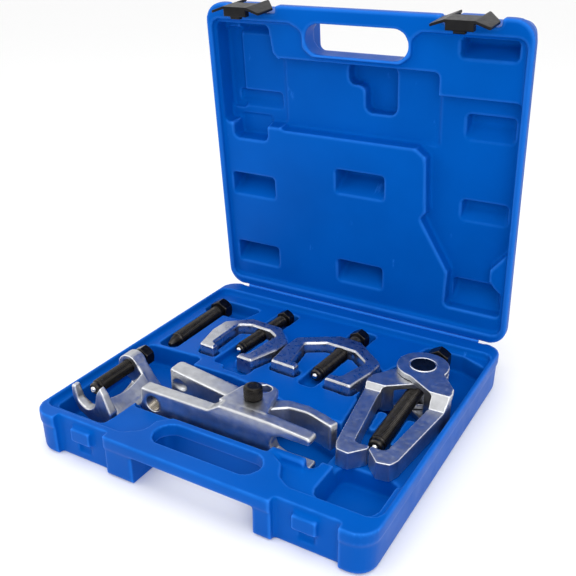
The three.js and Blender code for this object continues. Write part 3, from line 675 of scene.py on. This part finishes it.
# Shank radius, size across flats and pitch of each puller's screw, in mm.
PULLER_SCREWS = {
    "c_frame": (7.0, 19.0, 1.5),
    "small_puller": (6.5, 17.0, 1.5),
    "wide_puller": (7.5, 19.0, 1.5),
    "twin": (8.0, 22.0, 2.0),
}


def make_puller_screws():
    """The four pullers' screws, each with the ball in its end."""
    for tool, (radius, across, pitch) in PULLER_SCREWS.items():
        node = tool + "_screw"
        place = screw_place(node, JOINTS[tool + "_screw_turn"])
        make_screw(node, place, radius * MM, across * MM, pitch * MM, socket_tip(radius * MM))
        make_ball(tool + "_ball", place)


def make_forcing_screw():
    """The separator's screw, loose in its tray with its tip to the front."""
    low, high = box_corners("forcing_screw")
    middle = (low + high) / 2
    place = axis_frame((middle.x, low.y, middle.z), (0, 1, 0))
    radius, across, pitch = (size * MM for size in FORCING_SCREW)
    make_screw("forcing_screw", place, radius, across, pitch, cone_tip(radius))


# ---------------------------------------------------------------- separator's pivot and threaded hole

KNOB_RADIUS = 9 * MM
KNOB_HEIGHT = 12.5 * MM
KNURL_COUNT = 40
KNURL_RUN = 0.55 * MM  # along the knob for one radian of the grooves' wave
KNURL_DEPTH = 0.38 * MM
PIVOT_RADIUS = 6 * MM
PIVOT_THREAD = (1, 14, 1.25)  # where it starts and ends above the bolt's tip, and its pitch, in mm
NUT_ACROSS = 19 * MM
NUT_BORE = 6.3 * MM
BORE_CHAMFER = 0.8 * MM
THREAD_STEP = 0.2 * MM
KNURL_STEP = 0.28 * MM


def knurl(z, angle):
    """Diamond knurling: two crossed sets of fine grooves."""
    left = abs(math.sin(KNURL_COUNT / 2 * angle + z / KNURL_RUN))
    right = abs(math.sin(KNURL_COUNT / 2 * angle - z / KNURL_RUN))
    return KNOB_RADIUS - 0.1 * MM - KNURL_DEPTH * (1 - min(left, right))


def make_pivot():
    """The pivot bolt, with its thread below and its knurled knob above, and then its nut."""
    low, high = box_corners("separator_pivot_bolt")
    seat = high.z - KNOB_HEIGHT
    shank = PIVOT_RADIUS
    begin, finish, pitch = (size * MM for size in PIVOT_THREAD)
    start, end = low.z + begin, low.z + finish
    thread = screw_thread(shank, pitch, start, end)
    rings = [(low.z, 0), (low.z, shank - 1 * MM), (start, shank)]
    rings += [(z, thread) for z in steps(start, end, THREAD_STEP)]
    rings += [(seat, shank), (seat, KNOB_RADIUS - 1.2 * MM), (seat + 1.2 * MM, KNOB_RADIUS - 0.4 * MM)]
    rings += [(z, knurl) for z in steps(seat + 1.3 * MM, high.z - 1.5 * MM, KNURL_STEP)]
    # The knob's rounded top edge and shallow dish, in mm below its top: first from the rim inwards.
    for drop, inset in ((1.3, 0.5), (0.4, 1.2), (0, 1.8)):
        rings.append((high.z - drop * MM, KNOB_RADIUS - inset * MM))
    for drop, reach in ((0, 4.6), (0.4, 4.2), (0.4, 0)):
        rings.append((high.z - drop * MM, reach * MM))
    mesh = ring_mesh("pivot", rings, 5 * KNURL_COUNT)
    centre = (low + high) / 2
    node = "separator_pivot_bolt"
    add_turned("separator_knurled_bolt", mesh, upright_at(centre), "separator", "black_steel", node)
    make_nut(centre)


def make_nut(centre):
    """The hexagon nut on the pivot bolt, with a corner where the CAD node has one."""
    node = "separator_pivot_nut"
    low, high = box_corners(node)
    offsets = [vertex.co.xy - centre.xy for vertex in frame["nodes"][node].data.vertices]
    corner = max(offsets, key=lambda offset: offset.length)
    hexed = hexagon(NUT_ACROSS, math.atan2(corner.y, corner.x), low.z, high.z)
    rings = [(low.z + BORE_CHAMFER, NUT_BORE), (low.z, NUT_BORE + BORE_CHAMFER)]
    rings += [(z, hexed) for z in steps(low.z, high.z, 0.4 * MM)]
    rings += [(high.z, NUT_BORE + BORE_CHAMFER), (high.z - BORE_CHAMFER, NUT_BORE)]
    mesh = ring_mesh("nut", rings, SCREW_SIDES, closed=True)
    add_turned("separator_chamfered_nut", mesh, upright_at(centre), "separator", "black_steel", node)


# The hole through the fork arm's front bar, in mm. Its pitch is the forcing screw's.
SCREW_HOLE = {"x": -83, "axis_z": 40, "radius": 8.4, "length": 14}
HOLE_LEAD_IN = 0.9 * MM
HOLE_THREAD_DEPTH = 1.1 * MM
HOLE_CLEARANCE = 0.15 * MM  # from the hole's wall inwards to the thread's root
HOLE_OVERLAP = 0.5 * MM  # how far the thread's skin runs into the bar
HOLE_STEP = 0.22 * MM


def make_threaded_hole():
    """The cut thread that shows in the mouth of the fork arm's hole."""
    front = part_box("separator_fork_arm")[0][1]
    radius = SCREW_HOLE["radius"] * MM
    length = SCREW_HOLE["length"] * MM
    pitch = FORCING_SCREW[2] * MM

    def inner(z, angle):
        return radius - HOLE_CLEARANCE - HOLE_THREAD_DEPTH * thread_wave(z, angle, pitch)

    start, end = HOLE_LEAD_IN, length - HOLE_LEAD_IN
    rings = [(z, inner) for z in steps(start, end, HOLE_STEP)]
    rings += [(end, radius + HOLE_OVERLAP), (start, radius + HOLE_OVERLAP)]
    mesh = ring_mesh("hole_thread", rings, SCREW_SIDES, closed=True)
    mouth = axis_frame((SCREW_HOLE["x"] * MM, front, SCREW_HOLE["axis_z"] * MM), (0, 1, 0))
    add_turned("separator_hole_thread", mesh, mouth, "separator", "cut_steel")


# ---------------------------------------------------------------- twin puller's trunnion cap

CAP_SIDES = 72
CAP_TOP = 0.1 * MM  # above the trunnion's own end
GROOVE_FLOOR = 0.06 * MM
GROOVE_GAP = 0.55 * MM


def make_trunnion_cap():
    """The turned end of the trunnion: a raised rim around fine turning grooves."""
    low, high = box_corners("twin_trunnion")
    centre = (low + high) / 2
    reach = (high.x - low.x) / 2
    rings = [(high.z - 0.5 * MM, 0), (high.z - 0.5 * MM, reach - 0.9 * MM)]
    # The rim, in mm: height above the trunnion's end, and distance inside its radius.
    for rise, inset in ((0.1, 1.1), (0.15, 1.6), (0.15, 2.4), (0.06, 2.7)):
        rings.append((high.z + rise * MM, reach - inset * MM))
    for groove in steps(reach - 3.2 * MM, 1 * MM, GROOVE_GAP):
        rings += [(high.z + CAP_TOP, groove), (high.z + GROOVE_FLOOR, groove - 0.2 * MM)]
    rings.append((high.z + CAP_TOP, 0))
    mesh = ring_mesh("cap", rings, CAP_SIDES)
    add_turned("twin_trunnion_turned_cap", mesh, upright_at(centre), "twin_puller", "black_steel")


# ---------------------------------------------------------------- latches

LATCH_VOXEL = 0.5 * MM
LATCH_SMOOTHING = 3


def make_latch(side):
    """A latch, rebuilt while it lies shut so that its grid follows its faces."""
    node = "latch_" + side
    mesh = welded_copy(node)
    mesh.transform(CLOSED)
    mesh = softened(mesh, LATCH_VOXEL, LATCH_SMOOTHING)
    mesh.transform(CLOSED.inverted())
    add_piece(node + "_moulded", mesh, BODY_OF[node], "latch", node)


# ---------------------------------------------------------------- assembly

for node, source in frame["nodes"].items():
    source.data.materials.clear()
    source.data.materials.append(MATERIALS[SLOT_OF[node]])

make_case_half("case_base", Matrix.Identity(4))
make_case_half("case_lid", CLOSED)
for node, (voxel, smoothing) in FORGINGS.items():
    make_forging(node, voxel, smoothing)
make_puller_screws()
make_forcing_screw()
make_pivot()
make_threaded_hole()
make_trunnion_cap()
make_latch("left")
make_latch("right")
